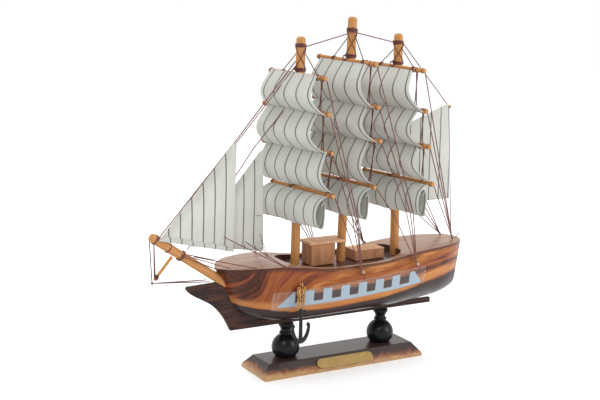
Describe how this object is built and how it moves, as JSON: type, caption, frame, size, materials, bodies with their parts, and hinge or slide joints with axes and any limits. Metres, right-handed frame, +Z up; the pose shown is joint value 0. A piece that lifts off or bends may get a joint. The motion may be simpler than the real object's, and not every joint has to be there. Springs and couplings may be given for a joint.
{
  "type": "model sailing ship",
  "caption": "Wooden model of a square-rigged sailing ship with striped cloth sails, thread rigging and a hanging anchor, on a two-pillar stand.",
  "frame": {"origin": "centre of the base plate's underside", "axes": "+Z up, -X towards the bow, -Y to port"},
  "size_m": [0.238, 0.064, 0.2374],
  "materials": {
    "burnt_wood": "scorched and varnished, glossy",
    "varnished_wood": "stained in bands and varnished, glossy",
    "black_lacquer": "black gloss lacquer on turned wood",
    "gilt_metal": "satin gilt",
    "screw_steel": "plain",
    "plain_wood": "bare, slightly grooved",
    "dowel_wood": "bare and lightly oiled",
    "printed_film": "clear film printed with a pale blue-grey band",
    "sail_cloth": "plain weave with thin dark stripes",
    "brown_thread": "twisted cotton thread",
    "dark_bronze": "blackened cast metal"
  },
  "bodies": {
    "ship": {"base_plate": "burnt_wood", "name_plate": "gilt_metal", "front_pillar": "black_lacquer", "aft_pillar": "black_lacquer", "front_screw": "screw_steel", "aft_screw": "screw_steel", "hull_block": "varnished_wood", "keel_board": "burnt_wood", "port_gunport_strip": "printed_film", "starboard_gunport_strip": "printed_film", "cabin": "plain_wood", "cabin_roof": "plain_wood", "hatch": "plain_wood", "bowsprit": "dowel_wood", "dolphin_striker": "dowel_wood", "gaff": "dowel_wood", "fore_mast": "dowel_wood", "fore_yard_1": "dowel_wood", "fore_yard_2": "dowel_wood", "fore_yard_3": "dowel_wood", "fore_yard_4": "dowel_wood", "fore_sail_1": "sail_cloth", "fore_sail_2": "sail_cloth", "fore_sail_3": "sail_cloth", "fore_sail_4": "sail_cloth", "fore_port_braces": "brown_thread", "fore_starboard_braces": "brown_thread", "main_mast": "dowel_wood", "main_yard_1": "dowel_wood", "main_yard_2": "dowel_wood", "main_yard_3": "dowel_wood", "main_yard_4": "dowel_wood", "main_sail_1": "sail_cloth", "main_sail_2": "sail_cloth", "main_sail_3": "sail_cloth", "main_sail_4": "sail_cloth", "main_port_braces": "brown_thread", "main_starboard_braces": "brown_thread", "mizzen_mast": "dowel_wood", "mizzen_yard_1": "dowel_wood", "mizzen_yard_2": "dowel_wood", "mizzen_yard_3": "dowel_wood", "mizzen_yard_4": "dowel_wood", "mizzen_sail_1": "sail_cloth", "mizzen_sail_2": "sail_cloth", "mizzen_sail_3": "sail_cloth", "mizzen_sail_4": "sail_cloth", "mizzen_port_braces": "brown_thread", "mizzen_starboard_braces": "brown_thread", "outer_jib": "sail_cloth", "inner_jib": "sail_cloth", "spanker": "sail_cloth", "outer_forestay": "brown_thread", "inner_forestay": "brown_thread", "masthead_stay": "brown_thread", "bobstay": "brown_thread", "anchor_eye": "gilt_metal"},
    "upper_chain": {"upper_chain": "gilt_metal"},
    "lower_chain": {"lower_chain": "gilt_metal"},
    "anchor": {"anchor": "dark_bronze"}
  },
  "joints": [
    {"name": "chain_swing", "type": "hinge", "parent": "ship", "child": "upper_chain", "pos_m": [-0.0414, -0.0266, 0.0644], "axis": [0, 1, 0], "range_deg": [-30, 30]},
    {"name": "chain_lift", "type": "hinge", "parent": "upper_chain", "child": "lower_chain", "pos_m": [-0.0414, -0.0266, 0.0575], "axis": [-1, 0, 0], "range_deg": [-4, 45]},
    {"name": "anchor_swing", "type": "hinge", "parent": "lower_chain", "child": "anchor", "pos_m": [-0.0414, -0.0266, 0.0506], "axis": [0, 1, 0], "range_deg": [-40, 40]}
  ]
}
